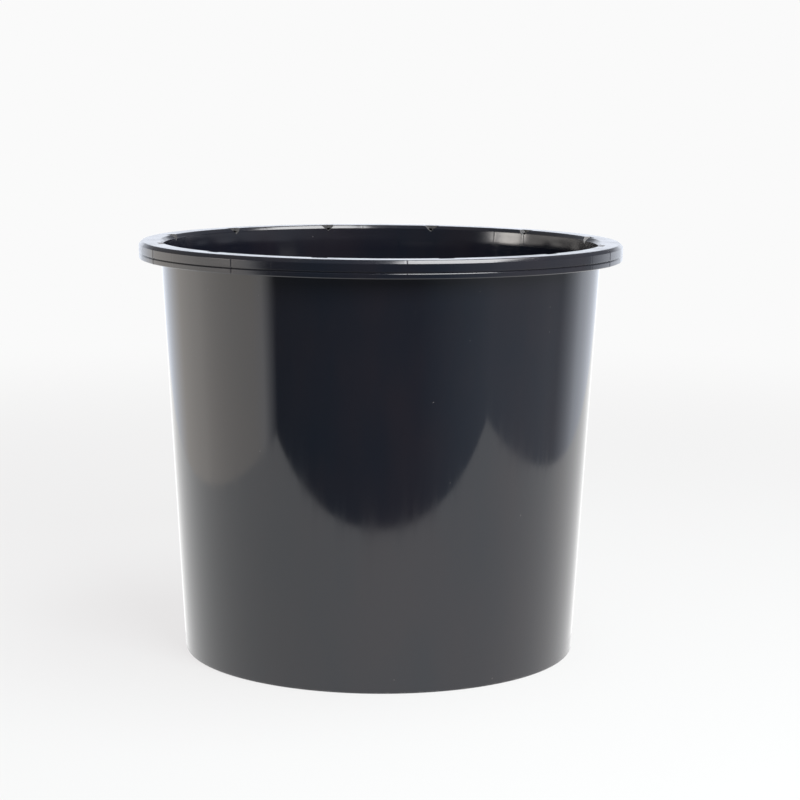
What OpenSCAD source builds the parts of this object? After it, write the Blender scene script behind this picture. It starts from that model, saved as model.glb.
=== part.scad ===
// Florist bucket: a round tapered bucket, moulded in one shot, with a hollow turned-down rim.
// The moulding is divided into the regions that its mould forms with separate inserts.
// Origin: centre of the foot, on the floor. +Z is up along the axis of the bucket.

/* [Overall] */
// Height from the floor to the top of the rim
height = 256.4; // [180:0.2:340]
// Diameter over the outside of the rim
rim_d = 300; // [276:1:380]
// Diameter of the wall where it meets the floor
base_d = 244.6; // [200:0.2:268]

/* [Wall and base] */
// Thickness of the side wall, measured level
wall_t = 2; // [1.2:0.1:4]
// Thickness of the base plate
base_t = 2.2; // [1.4:0.1:4]
// Height of the base plate's underside above the floor
base_rise = 3; // [2:0.1:8]
// Radius of the fillet inside, between wall and base
heel_fillet = 6; // [3:0.5:14]
// Level width of the foot ring
foot_w = 3.6; // [3:0.1:8]
// How far the foot ring is set in from the wall at the witness line
foot_set = 0.15; // [0:0.05:0.5]
// Radius of the foot ring's outer edge at the floor
foot_edge = 1; // [0.4:0.1:1.4]
// Diameter of the dimple round the gate, under the base plate
gate_d = 18; // [10:1:40]
// Depth of the dimple round the gate
gate_depth = 0.8; // [0.3:0.1:1]
// Diameter of the pip that the gate leaves
pip_d = 3; // [1:0.5:6]
// Height of the pip that the gate leaves
pip_h = 0.6; // [0.2:0.1:0.8]

/* [Rim] */
// Overall height of the rim
rim_h = 10.7; // [8.8:0.1:20]
// How far the rim stands out from the collar
rim_out = 13.3; // [9:0.1:20]
// Thickness of the rim's flat top
flange_t = 2; // [1.2:0.1:2.8]
// Level width of the eased corners of the rim's top, inside and outside
corner_w = 2.6; // [2.2:0.1:3.4]
// Height of the eased corners
corner_h = 2.1; // [1.8:0.1:2.6]
// Radius where the flat top rolls over into the bevel of an eased corner
corner_roll = 1.7; // [0.8:0.1:1.7]
// Thickness of the rim's outer band
band_t = 2.2; // [2:0.1:3]
// Height of the lip below the parting line
lip_h = 4; // [2.8:0.1:4.4]
// Height of the groove between the outer band and the lip
groove_h = 0.35; // [0.2:0.05:0.6]
// How far the floor of the groove is set back from the outer band
groove_set = 0.7; // [0.6:0.1:1.2]
// How far the face of the lip is set back from the outer band
lip_set = 0.1; // [0:0.1:0.4]
// Height of the bevel on the lip's outer top edge, under the groove
brow_h = 0.8; // [0.4:0.1:1]
// Radius of the lip's outer lower edge
lip_edge = 0.8; // [0.3:0.1:0.8]
// Radius of the lip's inner lower edge
lip_edge_in = 0.2; // [0.1:0.05:0.25]
// How far the collar stands out from the top of the wall, and leans out on its inner face
collar_step = 0.6; // [0:0.1:1.4]

/* [Ribs and notches] */
// Number of ribs under the rim
rib_count = 36; // [24:3:48]
// Thickness of a rib
rib_t = 1; // [0.8:0.1:2]
// How far the ribs stop above the rim's lower edge
rib_up = 1.2; // [0.5:0.1:2.2]
// Turn of the first rib from the +X axis, in degrees
rib_phase = 6; // [0:0.5:10]
// Number of the first rib that has a notch over it
first_notch_rib = 2; // [1:1:3]
// Ribs from one notch to the next
ribs_per_notch = 3; // [2:1:6]
// Width of a notch at the top of the rim
notch_w = 9.4; // [6:0.1:12]
// Depth of a notch below the top of the rim
notch_h = 3.8; // [3:0.1:4.5]
// Reach of a notch outwards from the collar's inner face
notch_reach = 5.3; // [3.5:0.1:7]

/* [Hidden] */
$fn = 180;
arc_steps = 8;      // straight steps in each rounded corner
overshoot = 1;      // how far a cutting shape passes a face
plastic = "#1c1d22";

rim_r = rim_d / 2;
base_r = base_d / 2;
rim_low = height - rim_h;               // lower edge of the rim
corner_low = height - corner_h;         // where the eased corners begin
hollow_top = height - flange_t;         // underside of the flat top, in the hollow
neck_h = 0.4;                           // height of the necks below the flat top's region
neck_low = min(corner_low, hollow_top) - neck_h;
parting_z = rim_low + lip_h;
rib_low = rim_low + rib_up;

collar_out = rim_r - rim_out;
collar_in = collar_out - wall_t;
band_in = rim_r - band_t;
groove_r = rim_r - groove_set;
lip_out = rim_r - lip_set;
brow_z = parting_z - groove_h;

// Angle above the level at which the bevel of an eased corner faces
bevel_face = atan2(corner_roll - corner_h, corner_w)
    + acos(corner_roll / norm([corner_w, corner_h - corner_roll]));

floor_z = base_rise + base_t;           // the bucket's inside floor
heel_top = floor_z + heel_fillet;
wall_lean = (collar_out - collar_step - base_r) / rim_low;
fillet_r = wall_in(heel_top) - heel_fillet * sqrt(1 + wall_lean * wall_lean);  // centre of the fillet
plate_r = fillet_r;                     // the base plate ends where the fillet begins

rib_pitch = 360 / rib_count;
notch_count = floor(rib_count / ribs_per_notch);

// Outer and inner radius of the tapered wall at height z
function wall_out(z) = base_r + wall_lean * z;
function wall_in(z) = wall_out(z) - wall_t;

// Points of an arc of radius r about c, from angle a to angle b
function arc(c, r, a, b) = [for (i = [0:arc_steps])
    c + r * [cos(a + (b - a) * i / arc_steps), sin(a + (b - a) * i / arc_steps)]];

// Turning angle of rib i, and its two-digit name
function rib_angle(i) = rib_phase + (i - 1) * rib_pitch;
function rib_name(i) = str("rim_rib_", i < 10 ? "0" : "", i);

// V-shaped notches through the inner corner of the rim, each over a rib
module notches() {
    slope = notch_w / 2 / notch_h;
    for (k = [1:notch_count])
        rotate([0, 0, rib_angle(first_notch_rib + (k - 1) * ribs_per_notch)])
            translate([collar_in - overshoot, 0, height])
                rotate([90, 0, 90])
                    linear_extrude(notch_reach + overshoot)
                        polygon([[0, -notch_h],
                                 [slope * (notch_h + overshoot), overshoot],
                                 [-slope * (notch_h + overshoot), overshoot]]);
}

module side_wall() {
    color(plastic) rotate_extrude()
        polygon([[wall_in(heel_top), heel_top], [wall_out(heel_top), heel_top],
                 [wall_out(rim_low), rim_low], [wall_in(rim_low), rim_low]]);
}

// The fillet's arc stops where it is tangent to the leaning wall
module heel() {
    color(plastic) rotate_extrude()
        polygon(concat([[plate_r, base_rise], [wall_out(base_rise), base_rise],
                        [wall_out(heel_top), heel_top], [wall_in(heel_top), heel_top]],
                       arc([fillet_r, heel_top], heel_fillet, -atan(wall_lean), -90)));
}

module foot_ring() {
    foot_r = wall_out(0) - foot_set;
    color(plastic) rotate_extrude()
        polygon(concat([[foot_r - foot_w, base_rise], [foot_r - foot_w, foot_edge]],
                       arc([foot_r - foot_w + foot_edge, foot_edge], foot_edge, 180, 270),
                       arc([foot_r - foot_edge, foot_edge], foot_edge, 270, 360),
                       [[wall_out(base_rise) - foot_set, base_rise]]));
}

module base_plate() {
    color(plastic) {
        difference() {
            translate([0, 0, base_rise]) cylinder(r = plate_r, h = base_t);
            translate([0, 0, base_rise - overshoot]) cylinder(d = gate_d, h = gate_depth + overshoot);
        }
        translate([0, 0, base_rise + gate_depth - pip_h]) cylinder(d = pip_d, h = pip_h);
    }
}

// The collar's inner face leans out by collar_step, from the top of the wall to the flat top
module rim_collar() {
    color(plastic) difference() {
        rotate_extrude()
            polygon([[wall_in(rim_low), rim_low], [wall_out(rim_low), rim_low],
                     [collar_out, rib_low], [collar_out, neck_low], [collar_in, neck_low]]);
        notches();
    }
}

// The flat top, with a bevelled and rolled corner on each side and a neck down to the band and the collar
module rim_flange() {
    roll_z = height - corner_roll;
    color(plastic) difference() {
        rotate_extrude()
            polygon(concat([[collar_in, neck_low], [collar_out, neck_low],
                            [collar_out, hollow_top], [band_in, hollow_top],
                            [band_in, neck_low], [rim_r, neck_low], [rim_r, corner_low]],
                           arc([rim_r - corner_w, roll_z], corner_roll, bevel_face, 90),
                           arc([collar_in + corner_w, roll_z], corner_roll, 90, 180 - bevel_face),
                           [[collar_in, corner_low]]));
        notches();
    }
}

module rim_skirt() {
    color(plastic) rotate_extrude()
        polygon([[band_in, parting_z], [rim_r, parting_z], [rim_r, neck_low], [band_in, neck_low]]);
}

// The lip hangs below a groove, with a bevel under the groove and round lower edges
module rim_lip() {
    color(plastic) rotate_extrude()
        polygon(concat([[groove_r, parting_z], [band_in, parting_z]],
                       arc([band_in + lip_edge_in, rim_low + lip_edge_in], lip_edge_in, 180, 270),
                       arc([lip_out - lip_edge, rim_low + lip_edge], lip_edge, 270, 360),
                       [[lip_out, brow_z - brow_h], [groove_r, brow_z]]));
}

// One rib fills the hollow of the rim from the collar to the outer band and the lip
module rim_rib(i) {
    color(plastic) difference() {
        rotate([0, 0, rib_angle(i)])
            intersection() {
                rotate_extrude()
                    polygon([[collar_out, rib_low], [band_in, rib_low],
                             [band_in, hollow_top], [collar_out, hollow_top]]);
                translate([collar_in, -rib_t / 2, rim_low])
                    cube([rim_r - collar_in, rib_t, rim_h]);
            }
        notches();
    }
}

side_wall();
heel();
foot_ring();
base_plate();
rim_collar();
rim_flange();
rim_skirt();
rim_lip();
for (i = [1:rib_count])
    rim_rib(i);
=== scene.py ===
import math
import random

import bpy
from mathutils import Matrix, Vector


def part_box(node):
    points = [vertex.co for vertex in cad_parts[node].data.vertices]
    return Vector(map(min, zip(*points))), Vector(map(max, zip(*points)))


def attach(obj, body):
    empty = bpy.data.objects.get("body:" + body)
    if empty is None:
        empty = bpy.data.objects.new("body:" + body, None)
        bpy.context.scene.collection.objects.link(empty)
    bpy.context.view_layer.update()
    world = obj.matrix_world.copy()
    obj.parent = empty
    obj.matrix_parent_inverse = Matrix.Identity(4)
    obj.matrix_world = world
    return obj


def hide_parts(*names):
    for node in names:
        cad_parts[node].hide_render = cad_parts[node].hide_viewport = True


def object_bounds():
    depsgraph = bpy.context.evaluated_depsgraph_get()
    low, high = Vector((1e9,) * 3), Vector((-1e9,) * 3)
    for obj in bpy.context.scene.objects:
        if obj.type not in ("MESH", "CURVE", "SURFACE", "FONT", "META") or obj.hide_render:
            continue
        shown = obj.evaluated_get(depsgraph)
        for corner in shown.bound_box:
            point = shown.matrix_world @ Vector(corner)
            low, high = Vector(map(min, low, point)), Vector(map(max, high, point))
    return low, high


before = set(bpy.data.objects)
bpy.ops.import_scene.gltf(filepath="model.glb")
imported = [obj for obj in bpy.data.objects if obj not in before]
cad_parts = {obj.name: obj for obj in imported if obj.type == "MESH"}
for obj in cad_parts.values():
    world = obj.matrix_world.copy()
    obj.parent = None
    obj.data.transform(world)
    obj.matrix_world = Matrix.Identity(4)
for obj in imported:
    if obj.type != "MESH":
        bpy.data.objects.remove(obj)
cad_low, cad_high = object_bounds()
scene = bpy.context.scene

# ---- Camera ---------------------------------------------------------------------------------
# A short telephoto on a tripod, a little above the rim and looking slightly down, with the
# bucket just left of the middle of the view.
camera_data = bpy.data.cameras.new("camera")
camera_data.sensor_width = 36
camera_data.lens = 100
look_down = math.radians(8.42)
camera_roll = math.radians(0.43)
camera = bpy.data.objects.new("camera", camera_data)
camera.matrix_world = (
    Matrix.Translation((0.0125, -1.382, 0.3605))
    @ Matrix.Rotation(math.pi / 2 - look_down, 4, "X")
    @ Matrix.Rotation(camera_roll, 4, "Z")
)
scene.collection.objects.link(camera)
scene.camera = camera

# ---- Side wall ------------------------------------------------------------------------------
# A thin tapered tube of black polypropylene, moulded in one shot with the rest of the bucket.
# It shrinks onto a polished core, so it is glossy, a little wavy, and streaked as it is pushed off.
WALL_THICKNESS = 0.002
wall_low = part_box("side_wall")[0].z
wall_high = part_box("side_wall")[1].z
heel_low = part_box("heel")[0].z
heel_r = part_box("heel")[1].x
wall_lean = (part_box("side_wall")[1].x - heel_r) / (wall_high - wall_low)


def wall_r(height):
    """Radius of the outside of the tapered wall at a height."""
    return heel_r + wall_lean * (height - wall_low)


def add_node(tree, kind, **settings):
    node = tree.nodes.new(kind)
    for name, value in settings.items():
        setattr(node, name, value)
    return node


def feed(tree, socket, value):
    """Links another socket to this one, or sets its own number or colour."""
    if isinstance(value, bpy.types.NodeSocket):
        tree.links.new(value, socket)
    else:
        socket.default_value = value


def maths(tree, operation, first, second=0.0, third=None):
    node = add_node(tree, "ShaderNodeMath", operation=operation)
    feed(tree, node.inputs[0], first)
    feed(tree, node.inputs[1], second)
    if third is not None:
        feed(tree, node.inputs[2], third)
    return node.outputs[0]


def between(tree, value, low, high, to_low=0.0, to_high=1.0, smooth=False):
    """Maps low..high to to_low..to_high, held at both ends."""
    node = add_node(tree, "ShaderNodeMapRange")
    node.interpolation_type = "SMOOTHSTEP" if smooth else "LINEAR"
    for socket, given in zip(node.inputs, (value, low, high, to_low, to_high)):
        feed(tree, socket, given)
    return node.outputs[0]


def vector(tree, x, y, z):
    node = add_node(tree, "ShaderNodeCombineXYZ")
    for socket, given in zip(node.inputs, (x, y, z)):
        feed(tree, socket, given)
    return node.outputs[0]


def stretched(tree, coords, scale, turn=(0, 0, 0)):
    """The coordinates turned, then scaled along each axis."""
    node = add_node(tree, "ShaderNodeMapping", vector_type="POINT")
    tree.links.new(coords, node.inputs["Vector"])
    node.inputs["Scale"].default_value = scale
    node.inputs["Rotation"].default_value = [math.radians(a) for a in turn]
    return node.outputs[0]


def noise(tree, coords, scale, detail=2.0, roughness=0.5):
    node = add_node(tree, "ShaderNodeTexNoise")
    tree.links.new(coords, node.inputs["Vector"])
    node.inputs["Scale"].default_value = scale
    node.inputs["Detail"].default_value = detail
    node.inputs["Roughness"].default_value = roughness
    return node.outputs["Fac"]


HAIR_SCRATCHES = (
    ((0, 0, 20), (60, 60, 1900)),
    ((38, 25, 0), (1700, 50, 60)),
    ((-50, 35, 10), (55, 1600, 60)),
)


def moulded_plastic(name, gloss, streaks, scuffs, wear_and_sheen=None):
    """Black polypropylene. gloss is its roughness, streaks the (x, y, z) scale of the marks the mould
    leaves, scuffs how much of it is rubbed, and the last, a function that gives a mask painted paler: rubbed
    edges on most pieces, a painted sheen on the notch faces."""
    material = bpy.data.materials.new(name)
    material.use_nodes = True
    tree = material.node_tree
    shader = tree.nodes["Principled BSDF"]
    shader.inputs["IOR"].default_value = 1.5
    coords = add_node(tree, "ShaderNodeTexCoord").outputs["Object"]

    # slow clouds of pigment and gloss along the flow of the melt, and the streaks of the mould
    clouds = noise(tree, stretched(tree, coords, (1, 1, 0.35)), 26, 3)
    drawn = noise(tree, stretched(tree, coords, streaks), 1, 3, 0.6)

    # hair scratches: each set runs one way, and shows only where a small patch of noise lets it
    rubbed = 0.0
    for turn, scale in HAIR_SCRATCHES:
        lines = noise(tree, stretched(tree, coords, scale, turn), 1, 1, 0.4)
        patch = noise(tree, stretched(tree, coords, (1, 1, 1.3), turn), 85, 2)
        line = between(tree, lines, 0.68, 0.80)
        here = between(tree, patch, 0.72 - 0.08 * scuffs, 0.80 - 0.08 * scuffs)
        rubbed = maths(tree, "MAXIMUM", rubbed, maths(tree, "MULTIPLY", line, here))

    # dust: a few pale specks, far apart and of different sizes
    cells = add_node(tree, "ShaderNodeTexVoronoi", feature="F1")
    tree.links.new(coords, cells.inputs["Vector"])
    cells.inputs["Scale"].default_value = 190
    pick = add_node(tree, "ShaderNodeSeparateColor")
    tree.links.new(cells.outputs["Color"], pick.inputs[0])
    speck_size = between(tree, pick.outputs[0], 0.80, 1.0, 0.0, 0.075)
    dust = maths(tree, "LESS_THAN", cells.outputs["Distance"], speck_size)
    dust = maths(tree, "MULTIPLY", dust, maths(tree, "GREATER_THAN", pick.outputs[1], 0.55))

    # marks are scratches, dust and rubbed edges; on the notch faces they also carry a painted sheen
    marks = maths(tree, "MULTIPLY", rubbed, 0.10)
    marks = maths(tree, "MAXIMUM", marks, maths(tree, "MULTIPLY", dust, 0.6))
    if wear_and_sheen is not None:
        marks = maths(tree, "MAXIMUM", marks, wear_and_sheen(tree, coords))

    tint = add_node(tree, "ShaderNodeMix", data_type="RGBA")
    feed(tree, tint.inputs["Factor"], between(tree, clouds, 0.35, 0.65))
    tint.inputs[6].default_value = (0.0026, 0.0038, 0.0068, 1)
    tint.inputs[7].default_value = (0.0050, 0.0046, 0.0070, 1)
    pale = add_node(tree, "ShaderNodeMix", data_type="RGBA")
    feed(tree, pale.inputs["Factor"], marks)
    tree.links.new(tint.outputs[2], pale.inputs[6])
    pale.inputs[7].default_value = (0.085, 0.083, 0.080, 1)
    tree.links.new(pale.outputs[2], shader.inputs["Base Color"])

    rough = between(tree, clouds, 0.3, 0.7, gloss, gloss + 0.05)
    rough = maths(tree, "ADD", rough, between(tree, drawn, 0.45, 0.75, 0.0, 0.05))
    rough = maths(tree, "ADD", rough, maths(tree, "MULTIPLY", marks, 0.30))
    tree.links.new(rough, shader.inputs["Roughness"])

    peel = noise(tree, coords, 620, 2)
    relief = add_node(tree, "ShaderNodeBump")
    relief.inputs["Distance"].default_value = 0.0000050
    tree.links.new(drawn, relief.inputs["Height"])
    fine = add_node(tree, "ShaderNodeBump")
    fine.inputs["Distance"].default_value = 0.0000008
    tree.links.new(maths(tree, "SUBTRACT", peel, maths(tree, "MULTIPLY", rubbed, 2.0)), fine.inputs["Height"])
    tree.links.new(relief.outputs[0], fine.inputs["Normal"])
    tree.links.new(fine.outputs[0], shader.inputs["Normal"])
    return material


def add_inputs(tree, **defaults):
    """Gives a Geometry Nodes tree a named input for each size, and returns them by name."""
    kinds = {float: "NodeSocketFloat", int: "NodeSocketInt", type(None): "NodeSocketMaterial"}
    tree.interface.new_socket("Geometry", in_out="OUTPUT", socket_type="NodeSocketGeometry")
    for name, value in defaults.items():
        socket = tree.interface.new_socket(name, in_out="INPUT", socket_type=kinds[type(value)])
        if value is not None:
            socket.default_value = value
    return add_node(tree, "NodeGroupInput").outputs


def finish_tree(tree, geometry, material):
    """Ends the tree in Realize Instances and Set Material."""
    real = add_node(tree, "GeometryNodeRealizeInstances")
    tree.links.new(geometry, real.inputs[0])
    paint = add_node(tree, "GeometryNodeSetMaterial")
    tree.links.new(real.outputs[0], paint.inputs[0])
    tree.links.new(material, paint.inputs["Material"])
    tree.links.new(paint.outputs[0], add_node(tree, "NodeGroupOutput").inputs[0])


def grow(name, tree, **sizes):
    """Runs the tree on an empty object with these sizes, and returns the result as a plain mesh object."""
    piece = bpy.data.objects.new(name, bpy.data.meshes.new(name))
    scene.collection.objects.link(piece)
    modifier = piece.modifiers.new("shape", "NODES")
    modifier.node_group = tree
    for item in tree.interface.items_tree:
        if item.in_out == "INPUT" and item.name in sizes:
            modifier[item.identifier] = sizes[item.name]
    evaluated = piece.evaluated_get(bpy.context.evaluated_depsgraph_get())
    made = bpy.data.meshes.new_from_object(evaluated)
    piece.modifiers.clear()
    piece.data = made
    made.name = name
    return piece


def shade(piece, angle=32):
    """Smooth faces, with the edges sharper than the angle left crisp."""
    piece.data.polygons.foreach_set("use_smooth", [True] * len(piece.data.polygons))
    piece.data.set_sharp_from_angle(angle=math.radians(angle))


def add_to_bucket(piece, *nodes):
    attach(piece, "root")
    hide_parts(*nodes)


wall_tree = bpy.data.node_groups.new("tapered wall", "GeometryNodeTree")
size = add_inputs(
    wall_tree, low=0.0, high=0.2, low_radius=0.1, lean=0.05, thickness=0.002,
    wave=0.00002, wave_size=25.0, steps_round=640, rows=56, material=None,
)
sheet = add_node(wall_tree, "GeometryNodeMeshGrid")
sheet.inputs["Size X"].default_value = 1
sheet.inputs["Size Y"].default_value = 1
feed(wall_tree, sheet.inputs["Vertices X"], maths(wall_tree, "ADD", size["steps_round"], 1))
feed(wall_tree, sheet.inputs["Vertices Y"], maths(wall_tree, "ADD", size["rows"], 1))
flat = add_node(wall_tree, "ShaderNodeSeparateXYZ")
wall_tree.links.new(add_node(wall_tree, "GeometryNodeInputPosition").outputs[0], flat.inputs[0])
turn = maths(wall_tree, "MULTIPLY", flat.outputs["X"], math.tau)
share = maths(wall_tree, "ADD", flat.outputs["Y"], 0.5)
level = between(wall_tree, share, 0, 1, size["low"], size["high"])
cosine = maths(wall_tree, "COSINE", turn)
sine = maths(wall_tree, "SINE", turn)
rise = maths(wall_tree, "SUBTRACT", level, size["low"])
outer = maths(wall_tree, "MULTIPLY_ADD", rise, size["lean"], size["low_radius"])
inner = maths(wall_tree, "SUBTRACT", outer, size["thickness"])
around = vector(
    wall_tree, maths(wall_tree, "MULTIPLY", cosine, inner), maths(wall_tree, "MULTIPLY", sine, inner),
    maths(wall_tree, "MULTIPLY", level, 0.4),
)
ripple = add_node(wall_tree, "ShaderNodeTexNoise")
wall_tree.links.new(around, ripple.inputs["Vector"])
wall_tree.links.new(size["wave_size"], ripple.inputs["Scale"])
ripple.inputs["Detail"].default_value = 1.5
centred = maths(wall_tree, "SUBTRACT", ripple.outputs["Fac"], 0.75)
# the wave dies out at both ends, where the wall meets the heel and the collar
ends = maths(wall_tree, "MULTIPLY", share, maths(wall_tree, "SUBTRACT", 1, share))
fade = maths(wall_tree, "MINIMUM", maths(wall_tree, "MULTIPLY", ends, 14), 1)
offset = maths(wall_tree, "MULTIPLY", maths(wall_tree, "MULTIPLY", centred, fade), size["wave"])
radius = maths(wall_tree, "ADD", inner, offset)
bend = add_node(wall_tree, "GeometryNodeSetPosition")
wall_tree.links.new(sheet.outputs["Mesh"], bend.inputs["Geometry"])
feed(
    wall_tree, bend.inputs["Position"],
    vector(
        wall_tree, maths(wall_tree, "MULTIPLY", cosine, radius),
        maths(wall_tree, "MULTIPLY", sine, radius), level,
    ),
)
closed = add_node(wall_tree, "GeometryNodeMergeByDistance")
wall_tree.links.new(bend.outputs[0], closed.inputs["Geometry"])
closed.inputs["Distance"].default_value = 0.000005
# the inner skin is pushed out by the wall's thickness, and its own faces are turned to the inside
place = add_node(wall_tree, "ShaderNodeSeparateXYZ")
wall_tree.links.new(add_node(wall_tree, "GeometryNodeInputPosition").outputs[0], place.inputs[0])
outwards = add_node(wall_tree, "ShaderNodeVectorMath", operation="NORMALIZE")
feed(wall_tree, outwards.inputs[0], vector(wall_tree, place.outputs["X"], place.outputs["Y"], 0.0))
push = add_node(wall_tree, "GeometryNodeExtrudeMesh", mode="FACES")
wall_tree.links.new(closed.outputs[0], push.inputs["Mesh"])
wall_tree.links.new(outwards.outputs[0], push.inputs["Offset"])
wall_tree.links.new(size["thickness"], push.inputs["Offset Scale"])
push.inputs["Individual"].default_value = False
inside = add_node(wall_tree, "GeometryNodeFlipFaces")
wall_tree.links.new(closed.outputs[0], inside.inputs["Mesh"])
both = add_node(wall_tree, "GeometryNodeJoinGeometry")
wall_tree.links.new(push.outputs["Mesh"], both.inputs[0])
wall_tree.links.new(inside.outputs[0], both.inputs[0])
welded = add_node(wall_tree, "GeometryNodeMergeByDistance")
wall_tree.links.new(both.outputs[0], welded.inputs["Geometry"])
welded.inputs["Distance"].default_value = 0.000005
finish_tree(wall_tree, welded.outputs[0], size["material"])

wall_plastic = moulded_plastic("wall plastic", gloss=0.05, streaks=(190, 190, 4), scuffs=0.6)
side_wall = grow(
    "bucket_side_wall", wall_tree, low=wall_low, high=wall_high, low_radius=heel_r, lean=wall_lean,
    thickness=WALL_THICKNESS, wave=0.00010, wave_size=22.0, material=wall_plastic,
)
shade(side_wall)
add_to_bucket(side_wall, "side_wall")

# ---- Heel -----------------------------------------------------------------------------------
# The corner of the moulding where the wall turns into the base: square outside, and inside a
# fillet that lets the melt turn from the gate up into the wall. A fine witness line runs below it.
FILLET = 0.006
floor_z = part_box("base_plate")[1].z
plate_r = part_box("base_plate")[1].x
even_turns = [math.tau * i / 640 for i in range(640)]


def arc(centre, radius, start, end, steps=6):
    """Points (radius, height) of an arc in the section, angles in degrees."""
    angles = [math.radians(start + (end - start) * i / steps) for i in range(steps + 1)]
    return [(centre[0] + radius * math.cos(a), centre[1] + radius * math.sin(a)) for a in angles]


def rows(start, end, count):
    """Points between two points of the section, so that a long face bends where it should."""
    return [
        tuple(a + (b - a) * i / count for a, b in zip(start, end)) for i in range(1, count)
    ]


def turned(name, outline, turns, material, moved=None):
    """A closed ring: a section of (radius, height) points, anticlockwise, turned about the axis.
    moved(turn, radius, height) may shift a point in or out."""
    points = []
    faces = []
    count = len(outline)
    for turn in turns:
        for radius, height in outline:
            far = radius + (moved(turn, radius, height) if moved else 0.0)
            points.append((far * math.cos(turn), far * math.sin(turn), height))
    for i in range(len(turns)):
        here = i * count
        following = (i + 1) % len(turns) * count
        for j in range(count):
            k = (j + 1) % count
            faces.append((here + j, following + j, following + k, here + k))
    mesh = bpy.data.meshes.new(name)
    mesh.from_pydata(points, [], faces)
    mesh.materials.append(material)
    piece = bpy.data.objects.new(name, mesh)
    scene.collection.objects.link(piece)
    shade(piece)
    return piece


lean_angle = math.degrees(math.atan(wall_lean))
heel_outline = (
    [(plate_r, heel_low), (wall_r(heel_low), heel_low)]
    + rows((wall_r(heel_low), heel_low), (wall_r(wall_low), wall_low), 3)
    + [(wall_r(wall_low), wall_low), (wall_r(wall_low) - WALL_THICKNESS, wall_low)]
    + arc((plate_r, wall_low), FILLET, -lean_angle, -90, 10)[1:]
)
heel_plastic = moulded_plastic("heel plastic", gloss=0.12, streaks=(120, 120, 12), scuffs=1.0)
heel = turned("bucket_heel", heel_outline, even_turns, heel_plastic)
add_to_bucket(heel, "heel")

# ---- Foot ring ------------------------------------------------------------------------------
# A low ring that the bucket stands on. Its outer edge is rounded and rubbed pale by the floors
# it has been slid over.
FOOT_EDGE = 0.001
foot_out = wall_r(0) - 0.00015
foot_in = foot_out - 0.0036
foot_outline = (
    [(foot_in, heel_low), (foot_in, FOOT_EDGE)]
    + arc((foot_in + FOOT_EDGE, FOOT_EDGE), FOOT_EDGE, 180, 270)[1:]
    + arc((foot_out - FOOT_EDGE, FOOT_EDGE), FOOT_EDGE, 270, 360)
    + [(wall_r(heel_low) - 0.00015, heel_low)]
)


def rubbed_foot(tree, coords):
    """Mask of the ring's lower edges, broken up as rubbing leaves it."""
    height = add_node(tree, "ShaderNodeSeparateXYZ")
    tree.links.new(coords, height.inputs[0])
    near = between(tree, height.outputs["Z"], 0.0, 0.0014, 0.6, 0.0)
    broken = between(tree, noise(tree, coords, 240, 3), 0.45, 0.6)
    return maths(tree, "MULTIPLY", near, broken)


foot_plastic = moulded_plastic("foot plastic", gloss=0.2, streaks=(90, 90, 90), scuffs=1.4, wear_and_sheen=rubbed_foot)
foot_ring = turned("bucket_foot_ring", foot_outline, even_turns, foot_plastic)
add_to_bucket(foot_ring, "foot_ring")

# ---- Base plate -----------------------------------------------------------------------------
# The flat floor of the bucket, held clear of the ground by the foot ring. The melt entered at its
# middle, which leaves a shallow dimple and a small cut-off pip underneath.
GATE_R = 0.009
GATE_DEPTH = 0.0008
PIP_R = 0.0015
PIP_HEIGHT = 0.0006


def turned_disc(name, outline, turns, material):
    """A closed disc: the section starts on the axis below and ends on the axis above."""
    count = len(outline) - 2
    points = [(0, 0, outline[0][1]), (0, 0, outline[-1][1])]
    faces = []
    for turn in turns:
        points += [(r * math.cos(turn), r * math.sin(turn), z) for r, z in outline[1:-1]]
    for i in range(len(turns)):
        here = 2 + i * count
        following = 2 + (i + 1) % len(turns) * count
        faces.append((0, following, here))
        faces.append((1, here + count - 1, following + count - 1))
        for j in range(count - 1):
            faces.append((here + j, following + j, following + j + 1, here + j + 1))
    mesh = bpy.data.meshes.new(name)
    mesh.from_pydata(points, [], faces)
    mesh.materials.append(material)
    piece = bpy.data.objects.new(name, mesh)
    scene.collection.objects.link(piece)
    shade(piece)
    return piece


dimple_z = heel_low + GATE_DEPTH
base_outline = (
    [(0, dimple_z - PIP_HEIGHT * 0.8), (PIP_R * 0.5, dimple_z - PIP_HEIGHT * 0.9)]
    + [(PIP_R * 0.9, dimple_z - PIP_HEIGHT), (PIP_R, dimple_z - PIP_HEIGHT * 0.7), (PIP_R, dimple_z)]
    + rows((PIP_R, dimple_z), (GATE_R * 0.92, dimple_z), 4)
    + [(GATE_R * 0.92, dimple_z), (GATE_R, heel_low)]
    + rows((GATE_R, heel_low), (plate_r, heel_low), 24)
    + [(plate_r, heel_low), (plate_r, floor_z)]
    + rows((plate_r, floor_z), (0, floor_z), 28)
    + [(0, floor_z)]
)
base_plastic = moulded_plastic("base plastic", gloss=0.2, streaks=(60, 60, 60), scuffs=1.3)
base_plate = turned_disc("bucket_base_plate", base_outline, even_turns[::2], base_plastic)
add_to_bucket(base_plate, "base_plate")

# ---- Collar ---------------------------------------------------------------------------------
# The inner band of the hollow rim, which leans out from the top of the wall. It shrank on to the ribs
# behind it, so each stretch between two ribs is a little flatter than the circle, and dips at the ribs.
RIM_REACH = 0.0133
RIB_COUNT = 36
RIB_PHASE = math.radians(6)
COLLAR_STEP_HEIGHT = 0.0012
SINK_WIDTH = 0.00045
COLLAR_HELD = 0.005
COLLAR_BULGE = 1.3
rim_pitch = math.tau / RIB_COUNT
rim_top = cad_high.z
rim_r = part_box("rim_flange")[1].x - 0.00012
rim_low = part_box("rim_lip")[0].z
neck_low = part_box("rim_flange")[0].z
collar_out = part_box("rim_flange")[1].x - RIM_REACH
collar_in = collar_out - WALL_THICKNESS
collar_low = rim_low + COLLAR_STEP_HEIGHT

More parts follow.
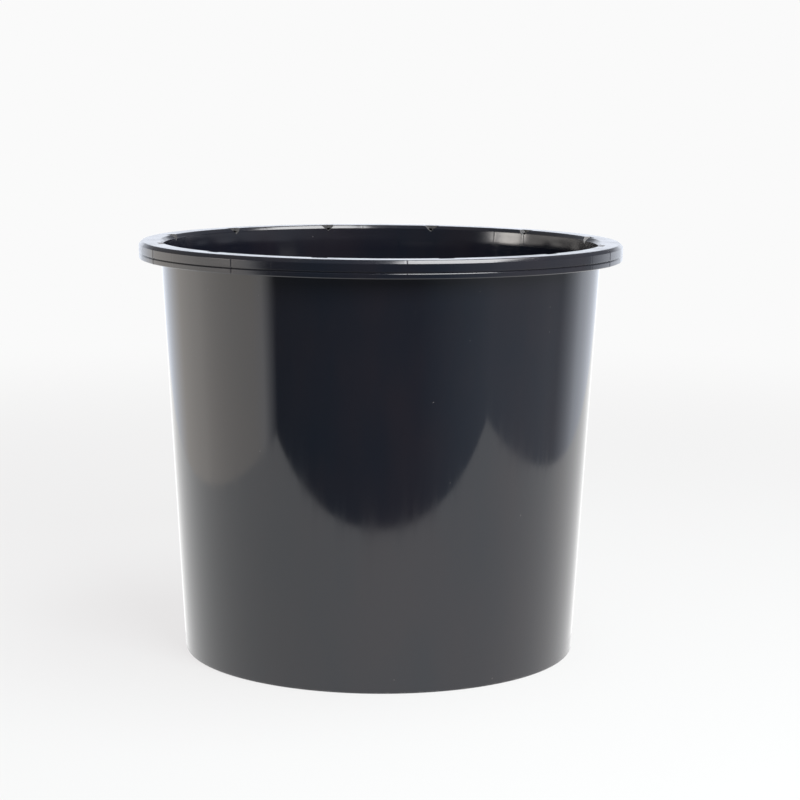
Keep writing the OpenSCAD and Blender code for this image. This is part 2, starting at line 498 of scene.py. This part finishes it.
# the angles crowd together at each rib, where the sink marks are
near_rib = [0, 0.1, 0.2, 0.3, 0.42, 0.6, 0.9, 1.3, 1.8, 2.4, 3, 3.6, 4.3]
rib_steps = sorted([-a for a in near_rib[1:]] + near_rib + [5])
rim_turns = [RIB_PHASE + k * rim_pitch + math.radians(a) for k in range(RIB_COUNT) for a in rib_steps]

dice = random.Random(11)
bay_flat = [dice.uniform(0.00006, 0.00016) for _ in range(RIB_COUNT)]
bay_tilt = [dice.uniform(-1, 1) for _ in range(RIB_COUNT)]
bay_turn = [dice.uniform(-1, 1) for _ in range(RIB_COUNT)]
rib_sink = [dice.uniform(0.00003, 0.00007) for _ in range(RIB_COUNT)]
for strong, depth in ((20, 0.00030), (23, 0.00018), (27, 0.00012), (33, 0.00020)):
    rib_sink[strong] = depth


def shrunk(turn, radius, height, most=1.0):
    """How far the skin of the rim has drawn in at a point, towards the hollow."""
    bay = (turn - RIB_PHASE) / rim_pitch
    k = int(math.floor(bay + 1e-6)) % RIB_COUNT
    share = bay - math.floor(bay + 1e-6)
    flat = bay_flat[k] * (1 - (2 * share - 1) ** 2)
    edge = min(1, 12 * share, 12 * (1 - share))
    tilt = bay_tilt[k] * 0.006 * (height - (rim_top + rim_low) / 2) * edge
    turned_bay = bay_turn[k] * 0.002 * (share - 0.5) * rim_pitch * radius * edge
    nearest = round(bay) % RIB_COUNT
    reach = (bay - round(bay)) * rim_pitch * radius
    sink = rib_sink[nearest] * math.exp(-(reach / SINK_WIDTH) ** 2)
    return most * (flat + tilt + turned_bay + sink)


def shrink_inside(turn, radius, height):
    """The collar's inner face draws out, but less and less down to its lower edge, which the wall holds."""
    if radius > collar_in + 0.0001:
        return 0.0
    free = min(1.0, (height - rim_low) / COLLAR_HELD)
    return shrunk(turn, radius, height, free * free * (3 - 2 * free))


collar_foot = wall_r(rim_low) - WALL_THICKNESS
inner_face = [
    (
        collar_foot + (collar_in - collar_foot) * (i / 9) ** COLLAR_BULGE,
        rim_low + (neck_low - rim_low) * i / 9,
    )
    for i in range(10)
]
collar_outline = (
    [(wall_r(rim_low) - WALL_THICKNESS, rim_low), (wall_r(rim_low), rim_low)]
    + [(collar_out, collar_low), (collar_out, neck_low)]
    + inner_face[:0:-1]
)
collar_plastic = moulded_plastic("collar plastic", gloss=0.13, streaks=(70, 70, 160), scuffs=1.2)
collar = turned("bucket_rim_collar", collar_outline, rim_turns, collar_plastic, shrink_inside)

# The notches: a wedge-shaped cutter for each, through the inner top corner over every third rib
NOTCH_WIDTH = 0.0094
NOTCH_DEPTH = 0.0038
NOTCH_REACH = 0.0053
PASS = 0.001
notch_turns = [RIB_PHASE + (1 + 3 * k) * rim_pitch for k in range(RIB_COUNT // 3)]
notch_slope = NOTCH_WIDTH / 2 / NOTCH_DEPTH
notch_half = notch_slope * (NOTCH_DEPTH + PASS)
notch_section = ((0, rim_top - NOTCH_DEPTH), (notch_half, rim_top + PASS), (-notch_half, rim_top + PASS))
WEDGE_FACES = ((0, 2, 1), (3, 4, 5), (0, 1, 4, 3), (1, 2, 5, 4), (2, 0, 3, 5))
cut_points = []
cut_faces = []
for turn in notch_turns:
    first = len(cut_points)
    for radius in (collar_in - PASS, collar_in + NOTCH_REACH):
        for across, height in notch_section:
            x = radius * math.cos(turn) - across * math.sin(turn)
            y = radius * math.sin(turn) + across * math.cos(turn)
            cut_points.append((x, y, height))
    cut_faces += [tuple(first + i for i in face) for face in WEDGE_FACES]
cutter_mesh = bpy.data.meshes.new("notch cutter")
cutter_mesh.from_pydata(cut_points, [], cut_faces)


def notch_painted_sheen(tree, coords):
    """Mask of a painted sheen: the notch faces are painted paler, standing in for the grey that light gives
    them.
    """
    return between(tree, noise(tree, coords, 400, 2), 0.3, 0.7, 0.25, 0.6)


# the tool that formed the notches was left rough, and so are their faces; they are also painted paler, a
# painted sheen for the light they catch
cutter_mesh.materials.append(
    moulded_plastic("notch plastic", gloss=0.42, streaks=(90, 90, 90), scuffs=0.2, wear_and_sheen=notch_painted_sheen)
)
notch_cutter = bpy.data.objects.new("notch_cutter", cutter_mesh)
scene.collection.objects.link(notch_cutter)


def notched(piece):
    """Cuts the notches out of a piece."""
    cut = piece.modifiers.new("notches", "BOOLEAN")
    cut.operation = "DIFFERENCE"
    cut.solver = "EXACT"
    cut.material_mode = "TRANSFER"
    cut.object = notch_cutter
    made = bpy.data.meshes.new_from_object(piece.evaluated_get(bpy.context.evaluated_depsgraph_get()))
    piece.modifiers.clear()
    piece.data = made
    shade(piece)


notched(collar)
add_to_bucket(collar, "rim_collar")

# ---- Flat top -------------------------------------------------------------------------------
# The flat top of the rim joins the collar to the outer band. Both its corners are bevelled, and
# the bevels roll over into the flat. Stacking and carrying have rubbed the corners.
FLAT_THICKNESS = 0.002
BAND_THICKNESS = 0.0022
CORNER_WIDTH = 0.0026
CORNER_HEIGHT = 0.0021
CORNER_ROLL = 0.0017
CORNER_EASE = 0.0005
band_in = rim_r - BAND_THICKNESS
hollow_top = rim_top - FLAT_THICKNESS
corner_low = rim_top - CORNER_HEIGHT
bevel_face = math.degrees(
    math.atan2(CORNER_ROLL - CORNER_HEIGHT, CORNER_WIDTH)
    + math.acos(CORNER_ROLL / math.hypot(CORNER_WIDTH, CORNER_HEIGHT - CORNER_ROLL))
)


def corner(edge_r, way):
    """The rolled and bevelled corner, from the upright face to the flat top. way is 1 outside, -1 inside."""
    roll = arc((CORNER_WIDTH, rim_top - CORNER_ROLL), CORNER_ROLL, bevel_face, 90, 7)
    # a small radius eases the bevel into the upright face
    half = CORNER_EASE * math.tan(math.radians(bevel_face) / 2)
    ease = arc((CORNER_EASE, corner_low - half), CORNER_EASE, 0, bevel_face, 4)
    side = [(edge_r - way * x, z) for x, z in ease_back(ease)]
    return side + [(edge_r - way * (2 * CORNER_WIDTH - x), z) for x, z in roll]


def ease_back(points):
    return [(2 * CORNER_EASE - x, z) for x, z in points]


outer_corner = corner(rim_r, 1)
inner_corner = corner(collar_in, -1)[::-1]
flange_outline = (
    [(collar_in, neck_low), (collar_out, neck_low), (collar_out, hollow_top), (band_in, hollow_top)]
    + [(band_in, neck_low), (rim_r, neck_low)]
    + outer_corner
    + rows(outer_corner[-1], inner_corner[0], 5)
    + inner_corner
)


def shrink_both(turn, radius, height):
    """The outer band draws in, and the collar draws out; the faces inside the hollow stay."""
    on_top = height > hollow_top + 0.00001
    if radius > rim_r - CORNER_WIDTH - 0.0001 and (on_top or radius > rim_r - 0.0001):
        return -shrunk(turn, radius, height)
    if radius < collar_in + CORNER_WIDTH + 0.0001 and (on_top or radius < collar_in + 0.0001):
        return shrunk(turn, radius, height)
    return 0.0


def rubbed_corners(tree, coords):
    """Mask of the two top corners of the rim, broken up as rubbing leaves it."""
    place = add_node(tree, "ShaderNodeSeparateXYZ")
    tree.links.new(coords, place.inputs[0])
    height = between(tree, place.outputs["Z"], rim_top - 0.0007, rim_top - 0.0002, 0.0, 1.0)
    below_flat = between(tree, place.outputs["Z"], rim_top - 0.00008, rim_top, 1.0, 0.0)
    broken = between(tree, noise(tree, coords, 300, 4, 0.7), 0.55, 0.72, 0.0, 0.35)
    return maths(tree, "MULTIPLY", maths(tree, "MULTIPLY", height, below_flat), broken)


rim_plastic = moulded_plastic(
    "rim plastic", gloss=0.13, streaks=(60, 60, 200), scuffs=1.3, wear_and_sheen=rubbed_corners
)
flange = turned("bucket_rim_flange", flange_outline, rim_turns, rim_plastic, shrink_both)
notched(flange)
add_to_bucket(flange, "rim_flange")

# ---- Outer band -----------------------------------------------------------------------------
# The upright outer face of the rim, down to the groove at the parting line. Like the collar it
# has drawn in between the ribs, and its lower edge is slightly rounded.
BAND_EDGE = 0.00012
parting_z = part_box("rim_lip")[1].z


def shrink_outside(turn, radius, height):
    return -shrunk(turn, radius, height) if radius > rim_r - 0.0017 else 0.0


skirt_outline = (
    [(band_in, parting_z), (rim_r - BAND_EDGE, parting_z)]
    + arc((rim_r - BAND_EDGE, parting_z + BAND_EDGE), BAND_EDGE, 270, 360, 3)[1:]
    + rows((rim_r, parting_z + BAND_EDGE), (rim_r, neck_low), 5)
    + [(rim_r, neck_low), (band_in, neck_low)]
)
skirt = turned("bucket_rim_skirt", skirt_outline, rim_turns, rim_plastic, shrink_outside)
add_to_bucket(skirt, "rim_skirt")

# ---- Lip ------------------------------------------------------------------------------------
# The lower edge of the rim, in line with the band. It comes out of the groove at the parting
# line, with a bevelled brow above and round edges below, where fingers go under to lift the bucket.
GROOVE_HEIGHT = 0.00035
GROOVE_SET = 0.0007
LIP_SET = 0.0001
LIP_EDGE = 0.0008
LIP_EDGE_IN = 0.0002
groove_r = rim_r - GROOVE_SET
lip_out = rim_r - LIP_SET
BROW_HEIGHT = 0.0008
brow_z = parting_z - GROOVE_HEIGHT
lip_outline = (
    [(groove_r, parting_z), (band_in, parting_z)]
    + rows((band_in, parting_z), (band_in, rim_low + LIP_EDGE_IN), 3)
    + arc((band_in + LIP_EDGE_IN, rim_low + LIP_EDGE_IN), LIP_EDGE_IN, 180, 270, 4)
    + arc((lip_out - LIP_EDGE, rim_low + LIP_EDGE), LIP_EDGE, 270, 360, 8)
    + [(lip_out, brow_z - BROW_HEIGHT), (groove_r, brow_z)]
)


def shrink_lip(turn, radius, height):
    return -shrunk(turn, radius, height) if radius > band_in + 0.0004 else 0.0


lip = turned("bucket_rim_lip", lip_outline, rim_turns, rim_plastic, shrink_lip)
add_to_bucket(lip, "rim_lip")

# ---- Ribs -----------------------------------------------------------------------------------
# Thin upright webs in the hollow of the rim, which stiffen it for lifting. They taper down from
# the flat top, so that the mould lets them go, and the notches bite into every third one.
RIB_THICKNESS = 0.001
RIB_DRAFT = 0.18
rib_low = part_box("rim_rib_01")[0].z

rib_tree = bpy.data.node_groups.new("ribs round the rim", "GeometryNodeTree")
size = add_inputs(
    rib_tree, count=36, phase=0.1, inner_radius=0.13, outer_radius=0.14, low=0.2, high=0.21,
    thickness=0.001, draft=0.18, wander=0.0006, seed=5, material=None,
)
length = maths(rib_tree, "SUBTRACT", size["outer_radius"], size["inner_radius"])
tall = maths(rib_tree, "SUBTRACT", size["high"], size["low"])
block = add_node(rib_tree, "GeometryNodeMeshCube")
feed(rib_tree, block.inputs["Size"], vector(rib_tree, length, size["thickness"], tall))
block.inputs["Vertices X"].default_value = 6
block.inputs["Vertices Y"].default_value = 2
block.inputs["Vertices Z"].default_value = 5
spot = add_node(rib_tree, "ShaderNodeSeparateXYZ")
rib_tree.links.new(add_node(rib_tree, "GeometryNodeInputPosition").outputs[0], spot.inputs[0])
up_share = maths(rib_tree, "ADD", maths(rib_tree, "DIVIDE", spot.outputs["Z"], tall), 0.5)
thinner = maths(rib_tree, "MULTIPLY", maths(rib_tree, "SUBTRACT", 1, up_share), size["draft"])
slim = maths(rib_tree, "MULTIPLY", spot.outputs["Y"], maths(rib_tree, "SUBTRACT", 1, thinner))
# the lower edge is hollowed a little between its two roots
across = maths(rib_tree, "DIVIDE", spot.outputs["X"], length)
hollow = maths(rib_tree, "SUBTRACT", 0.25, maths(rib_tree, "MULTIPLY", across, across))
dip = maths(rib_tree, "MULTIPLY", hollow, 0.0016)
lift = maths(rib_tree, "MULTIPLY", dip, maths(rib_tree, "SUBTRACT", 1, up_share))
middle_out = maths(rib_tree, "MULTIPLY_ADD", length, 0.5, size["inner_radius"])
middle_up = maths(rib_tree, "MULTIPLY_ADD", tall, 0.5, size["low"])
taper = add_node(rib_tree, "GeometryNodeSetPosition")
rib_tree.links.new(block.outputs["Mesh"], taper.inputs["Geometry"])
feed(
    rib_tree, taper.inputs["Position"],
    vector(
        rib_tree,
        maths(rib_tree, "ADD", spot.outputs["X"], middle_out),
        slim,
        maths(rib_tree, "ADD", maths(rib_tree, "ADD", spot.outputs["Z"], lift), middle_up),
    ),
)
places = add_node(rib_tree, "GeometryNodeMeshLine")
rib_tree.links.new(size["count"], places.inputs["Count"])
places.inputs["Offset"].default_value = (0, 0, 0)
chance = add_node(rib_tree, "FunctionNodeRandomValue", data_type="FLOAT")
feed(rib_tree, chance.inputs[2], maths(rib_tree, "MULTIPLY", size["wander"], -1))
feed(rib_tree, chance.inputs[3], size["wander"])
rib_tree.links.new(size["seed"], chance.inputs["Seed"])
number = add_node(rib_tree, "GeometryNodeInputIndex").outputs[0]
step = maths(rib_tree, "DIVIDE", math.tau, size["count"])
even_turn = maths(rib_tree, "MULTIPLY_ADD", number, step, size["phase"])
heading = maths(rib_tree, "ADD", even_turn, chance.outputs[1])
facing = add_node(rib_tree, "FunctionNodeEulerToRotation")
feed(rib_tree, facing.inputs[0], vector(rib_tree, 0.0, 0.0, heading))
around_rim = add_node(rib_tree, "GeometryNodeInstanceOnPoints")
rib_tree.links.new(places.outputs[0], around_rim.inputs["Points"])
rib_tree.links.new(taper.outputs[0], around_rim.inputs["Instance"])
rib_tree.links.new(facing.outputs[0], around_rim.inputs["Rotation"])
finish_tree(rib_tree, around_rim.outputs[0], size["material"])

rib_plastic = moulded_plastic("rib plastic", gloss=0.22, streaks=(90, 90, 90), scuffs=0.4)
ribs = grow(
    "bucket_rim_ribs", rib_tree, count=RIB_COUNT, phase=RIB_PHASE, inner_radius=collar_out - 0.00005,
    outer_radius=band_in + 0.00005, low=rib_low, high=hollow_top + 0.00005, thickness=RIB_THICKNESS,
    draft=RIB_DRAFT, wander=0.0004, seed=5, material=rib_plastic,
)
notched(ribs)
add_to_bucket(ribs, *[f"rim_rib_{i:02d}" for i in range(1, RIB_COUNT + 1)])
bpy.data.objects.remove(notch_cutter)

# ---- Table, backdrop and light --------------------------------------------------------------
# A pale table that runs back into a white sweep. The gloss of the bucket mirrors a brighter table
# top with an edge in front, so that has a sheet of its own, which only reflections show.
TABLE_LEFT = -0.54
TABLE_RIGHT = 0.61
TABLE_FRONT = -0.43
TABLE_BACK = 4.0
WHITE = 0.956
TABLE_LEVEL = 1.6


def stage_sheet(name, left, right, front, back):
    mesh = bpy.data.meshes.new(name)
    corners = [(left, front, 0), (right, front, 0), (right, back, 0), (left, back, 0)]
    mesh.from_pydata(corners, [], [(0, 1, 2, 3)])
    sheet = bpy.data.objects.new(name, mesh)
    scene.collection.objects.link(sheet)
    material = bpy.data.materials.new(name)
    material.use_nodes = True
    material.node_tree.nodes.clear()
    mesh.materials.append(material)
    return sheet, material.node_tree


floor, tree = stage_sheet("floor", -8, 8, -8, 8)
floor.visible_glossy = False
paper = add_node(tree, "ShaderNodeBsdfDiffuse")
paper.inputs["Color"].default_value = (0.066, 0.073, 0.0725, 1)
glow = add_node(tree, "ShaderNodeEmission")
glow.inputs["Color"].default_value = (1.0, 0.982, 0.984, 1)
glow.inputs["Strength"].default_value = 0.770
lit = add_node(tree, "ShaderNodeAddShader")
tree.links.new(paper.outputs[0], lit.inputs[0])
tree.links.new(glow.outputs[0], lit.inputs[1])
plain = add_node(tree, "ShaderNodeEmission")
plain.inputs["Strength"].default_value = WHITE
ground = add_node(tree, "ShaderNodeNewGeometry").outputs["Position"]
away = add_node(tree, "ShaderNodeVectorMath", operation="LENGTH")
tree.links.new(ground, away.inputs[0])
blend = add_node(tree, "ShaderNodeMixShader")
feed(tree, blend.inputs[0], between(tree, away.outputs["Value"], 0.5, 1.6, smooth=True))
tree.links.new(lit.outputs[0], blend.inputs[1])
tree.links.new(plain.outputs[0], blend.inputs[2])
tree.links.new(blend.outputs[0], add_node(tree, "ShaderNodeOutputMaterial").inputs[0])

mirrored_table, tree = stage_sheet("mirrored_table", TABLE_LEFT, TABLE_RIGHT, TABLE_FRONT, TABLE_BACK)
mirrored_table.visible_camera = False
mirrored_table.visible_diffuse = False
mirrored_table.visible_shadow = False
glow = add_node(tree, "ShaderNodeEmission")
glow.inputs["Strength"].default_value = TABLE_LEVEL
tree.links.new(glow.outputs[0], add_node(tree, "ShaderNodeOutputMaterial").inputs[0])

# The room as the gloss sees it, made of a few features. Directions are in degrees,
# with 0 towards the camera and -90 to the left. A white sweep stands behind, a bright wall with a
# lamp on the left and a dim wall on the right, and the front is dark.
ROOM_MOST = 14.0
SWEEP = 1.5
BRIGHT_WALL = 2.0
DIM_WALL = 0.6
DARKNESS = 0.15
CEILING = 0.3
world = bpy.data.worlds.new("studio")
scene.world = world
world.use_nodes = True
tree = world.node_tree
tree.nodes.clear()
direction = add_node(tree, "ShaderNodeSeparateXYZ")
tree.links.new(add_node(tree, "ShaderNodeTexCoord").outputs["Generated"], direction.inputs[0])
backwards = maths(tree, "MULTIPLY", direction.outputs["Y"], -1)
azimuth = maths(tree, "ARCTAN2", direction.outputs["X"], backwards)
elevation = maths(tree, "DEGREES", maths(tree, "ARCSINE", direction.outputs["Z"]))


bearing = maths(tree, "DEGREES", azimuth)


def grey(level):
    """A level of the room as a colour, in shares of the brightest."""
    return (level / ROOM_MOST, level / ROOM_MOST, level / ROOM_MOST, 1)


def mixed(first, second, share):
    node = add_node(tree, "ShaderNodeMix", data_type="RGBA")
    for socket, given in zip((node.inputs[6], node.inputs[7], node.inputs[0]), (first, second, share)):
        feed(tree, socket, given)
    return node.outputs[2]


def window(low, high, soft):
    """1 between two compass directions, with soft sides."""
    rises = between(tree, bearing, low - soft, low + soft)
    falls = between(tree, bearing, high - soft, high + soft, 1.0, 0.0)
    return maths(tree, "MULTIPLY", rises, falls)


walls = mixed(grey(DARKNESS), grey(BRIGHT_WALL), window(-140, -60, 4))
walls = mixed(walls, grey(DIM_WALL), window(40, 120, 20))
lamp_height = maths(tree, "MULTIPLY", between(tree, elevation, 1, 2), between(tree, elevation, 8, 10, 1, 0))
with_lamp = mixed(walls, grey(12), maths(tree, "MULTIPLY", window(-85, -65, 1), lamp_height))
is_behind = between(tree, maths(tree, "ABSOLUTE", bearing), 110, 130)
with_sweep = mixed(with_lamp, grey(SWEEP), is_behind)
ceiling_share = between(tree, elevation, 8, 16, smooth=True)
untinted = mixed(with_sweep, grey(CEILING), ceiling_share)
# the light from the left is a little warm, and what comes from the front is cool
tint = mixed((0.95, 1.0, 1.1, 1), (1.05, 1.0, 0.95, 1), window(-140, -60, 10))
tinted = add_node(tree, "ShaderNodeMix", data_type="RGBA", blend_type="MULTIPLY")
for socket, given in zip((tinted.inputs[6], tinted.inputs[7], tinted.inputs[0]), (untinted, tint, 1.0)):
    feed(tree, socket, given)
room_colour = tinted.outputs[2]
room = add_node(tree, "ShaderNodeBackground")
tree.links.new(room_colour, room.inputs["Color"])
room.inputs["Strength"].default_value = ROOM_MOST
air = add_node(tree, "ShaderNodeBackground")
air.inputs["Color"].default_value = (1, 1, 1, 1)
air.inputs["Strength"].default_value = 0.6
backdrop = add_node(tree, "ShaderNodeBackground")
backdrop.inputs["Color"].default_value = (WHITE, WHITE, WHITE, 1)
rays = add_node(tree, "ShaderNodeLightPath")
for_gloss = add_node(tree, "ShaderNodeMixShader")
tree.links.new(rays.outputs["Is Glossy Ray"], for_gloss.inputs[0])
tree.links.new(air.outputs[0], for_gloss.inputs[1])
tree.links.new(room.outputs[0], for_gloss.inputs[2])
for_camera = add_node(tree, "ShaderNodeMixShader")
tree.links.new(rays.outputs["Is Camera Ray"], for_camera.inputs[0])
tree.links.new(for_gloss.outputs[0], for_camera.inputs[1])
tree.links.new(backdrop.outputs[0], for_camera.inputs[2])
tree.links.new(for_camera.outputs[0], add_node(tree, "ShaderNodeOutputWorld").inputs[0])


def soft_box(name, place, turn, wide, deep, watts):
    """A rectangular lamp that shines down, turned by (tilt, compass direction) in degrees."""
    lamp = bpy.data.lights.new(name, "AREA")
    lamp.shape = "RECTANGLE"
    lamp.size = wide
    lamp.size_y = deep
    lamp.energy = watts
    holder = bpy.data.objects.new(name, lamp)
    holder.matrix_world = (
        Matrix.Translation(place)
        @ Matrix.Rotation(math.radians(turn[1]), 4, "Z")
        @ Matrix.Rotation(math.radians(turn[0]), 4, "X")
    )
    scene.collection.objects.link(holder)
    holder.visible_camera = False
    return holder


# A large soft box hangs flat over the bucket, to the right of it, and the bevels of the rim mirror
# it. A second one on the right throws the shadow on the table, and is left out of the gloss.
key = soft_box("key", (0.505, -0.21, 1.45), (0, 0), 0.79, 1.08, 35)
side = soft_box("side", (0.63, -1.19, 0.95), (57, 28), 0.8, 0.8, 46)
side.visible_glossy = False

scene.view_settings.view_transform = "Standard"
scene.view_settings.look = "None"
